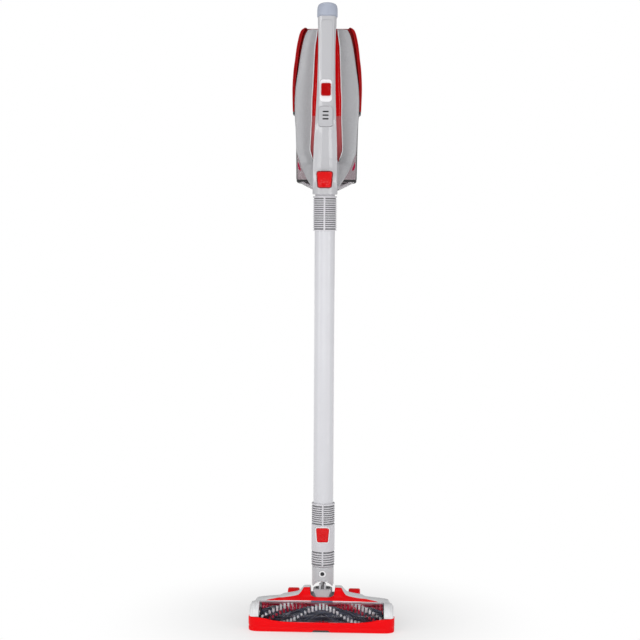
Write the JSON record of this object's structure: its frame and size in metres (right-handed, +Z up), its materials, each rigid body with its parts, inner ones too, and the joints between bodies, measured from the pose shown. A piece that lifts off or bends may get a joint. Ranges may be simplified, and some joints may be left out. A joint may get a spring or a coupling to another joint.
{
  "type": "cordless stick vacuum",
  "caption": "Upright cordless stick vacuum with a motorised roller head, a two-way pivoting neck, a straight tube and a slim hand unit with a clear dust cup.",
  "frame": {"origin": "on the floor, under the centre of the whole object's bounding box", "axes": "+Z up, +Y from the head's front bumper towards the user behind, +X across the head"},
  "size_m": [0.2544, 0.1818, 1.0939],
  "materials": {
    "grey_plastic": "light grey moulded plastic, soft sheen",
    "silver_plastic": "silver flake painted plastic",
    "blue_grey_plastic": "satin blue-grey plastic",
    "tube_paint": "pale grey painted thin steel tube",
    "red_plastic": "glossy red plastic",
    "deep_red_plastic": "deep red glossy plastic",
    "clear_plastic": "clear plastic",
    "smoke_plastic": "lightly smoked clear plastic",
    "dark_plastic": "near-black plastic",
    "white_plastic": "white acetal",
    "white_bristle": "white nylon tufts",
    "red_bristle": "red nylon tufts",
    "felt": "dark felt strip",
    "steel": "bright steel",
    "motor_can": "plain metal can",
    "black_rubber": "black rubber",
    "battery_wrap": "shrink-wrapped cells",
    "circuit_board": "green circuit board",
    "filter_paper": "off-white pleated paper"
  },
  "bodies": {
    "floor_head": {"head_chassis": "dark_plastic", "head_cover": "silver_plastic", "head_wedge": "red_plastic", "brush_window": "clear_plastic", "front_bumper": "red_plastic", "front_glide": "felt", "end_cap_left": "silver_plastic", "end_cap_right": "silver_plastic", "wheel_arch_left": "red_plastic", "wheel_arch_right": "red_plastic", "wheel_axle_left": "steel", "wheel_axle_right": "steel", "brush_motor": "motor_can", "drive_belt": "black_rubber", "brush_bearing_left": "steel", "brush_bearing_right": "steel", "tilt_axle": "steel"},
    "left_wheel": {"rear_wheel_left": "dark_plastic"},
    "right_wheel": {"rear_wheel_right": "dark_plastic"},
    "brush": {"brush_roller": "dark_plastic", "brush_pulley": "dark_plastic", "bristles_white": "white_bristle", "bristles_red": "red_bristle"},
    "pinion": {"motor_pinion": "steel"},
    "yoke": {"neck_yoke": "grey_plastic", "swing_pin": "dark_plastic"},
    "neck": {"neck_knuckle": "grey_plastic", "swing_bush": "white_plastic", "lower_collar": "grey_plastic", "lower_button_spring": "steel"},
    "tube_release": {"lower_button": "red_plastic"},
    "wand": {"tube": "tube_paint", "upper_collar": "grey_plastic"},
    "hand_unit": {"nozzle_housing": "silver_plastic", "upper_button_spring": "steel", "handle_cover": "grey_plastic", "handle_grip": "grey_plastic", "handle_cap": "blue_grey_plastic", "battery_stick": "battery_wrap", "indicator_panel": "grey_plastic", "light_guide": "dark_plastic", "control_board": "circuit_board", "channel_liner": "deep_red_plastic", "side_panel_left": "silver_plastic", "side_panel_right": "silver_plastic", "motor_housing": "red_plastic", "charging_socket": "dark_plastic", "suction_motor": "motor_can", "motor_mount": "black_rubber"},
    "hand_release": {"upper_button": "red_plastic"},
    "switch": {"power_switch": "red_plastic"},
    "fan": {"impeller": "dark_plastic"},
    "cup": {"dust_cup": "clear_plastic", "cup_gasket": "black_rubber", "filter_shroud": "smoke_plastic", "pleated_filter": "filter_paper", "lid_pin": "steel"},
    "lid": {"cup_lid": "smoke_plastic"},
    "latch": {"cup_latch": "red_plastic"}
  },
  "joints": [
    {"name": "left_wheel_spin", "type": "hinge", "parent": "floor_head", "child": "left_wheel", "pos_m": [-0.0547, 0.02645, 0.022], "axis": [1, 0, 0], "continuous": true},
    {"name": "right_wheel_spin", "type": "hinge", "parent": "floor_head", "child": "right_wheel", "pos_m": [0.0547, 0.02645, 0.022], "axis": [1, 0, 0], "continuous": true},
    {"name": "brush_spin", "type": "hinge", "parent": "floor_head", "child": "brush", "pos_m": [0, -0.06305, 0.023], "axis": [1, 0, 0], "continuous": true},
    {"name": "pinion_spin", "type": "hinge", "parent": "floor_head", "child": "pinion", "pos_m": [0.111, -0.02905, 0.024], "axis": [1, 0, 0], "continuous": true},
    {"name": "neck_tilt", "type": "hinge", "parent": "floor_head", "child": "yoke", "pos_m": [0, -0.02155, 0.036], "axis": [-1, 0, 0], "range_deg": [0, 80]},
    {"name": "neck_swing", "type": "hinge", "parent": "yoke", "child": "neck", "pos_m": [0, -0.02555, 0.092], "axis": [0, 1, 0], "range_deg": [-24, 24]},
    {"name": "lower_button_press", "type": "slide", "parent": "neck", "child": "tube_release", "axis": [0, 1, 0], "range_m": [0, 0.0025], "stiffness_N_per_m": 400, "springref_m": -0.002, "deforming": ["lower_button_spring"]},
    {"name": "tube_lift", "type": "slide", "parent": "neck", "child": "wand", "axis": [0, 0, 1], "range_m": [0, 0.066]},
    {"name": "hand_unit_lift", "type": "slide", "parent": "wand", "child": "hand_unit", "axis": [0, 0, 1], "range_m": [0, 0.036]},
    {"name": "upper_button_press", "type": "slide", "parent": "hand_unit", "child": "hand_release", "axis": [0, 1, 0], "range_m": [0, 0.0025], "stiffness_N_per_m": 400, "springref_m": -0.002, "deforming": ["upper_button_spring"]},
    {"name": "power_slide", "type": "slide", "parent": "hand_unit", "child": "switch", "axis": [0, 0.1994, 0.9799], "range_m": [0, 0.006]},
    {"name": "fan_spin", "type": "hinge", "parent": "hand_unit", "child": "fan", "pos_m": [0, 0.0617, 0.93064], "axis": [0, 0.1219, 0.9925], "continuous": true},
    {"name": "cup_remove", "type": "slide", "parent": "hand_unit", "child": "cup", "axis": [0, -0.1219, -0.9925], "range_m": [0, 0.13]},
    {"name": "lid_open", "type": "hinge", "parent": "cup", "child": "lid", "pos_m": [0, 0.02014, 0.76698], "axis": [-1, 0, 0], "range_deg": [0, 85]},
    {"name": "latch_slide", "type": "slide", "parent": "cup", "child": "latch", "axis": [0, 0.1219, 0.9925], "range_m": [0, 0.003], "stiffness_N_per_m": 300, "springref_m": -0.002}
  ],
  "couplings": [
    {"joint": "pinion_spin", "follows": "brush_spin", "ratio": 1.7778}
  ]
}
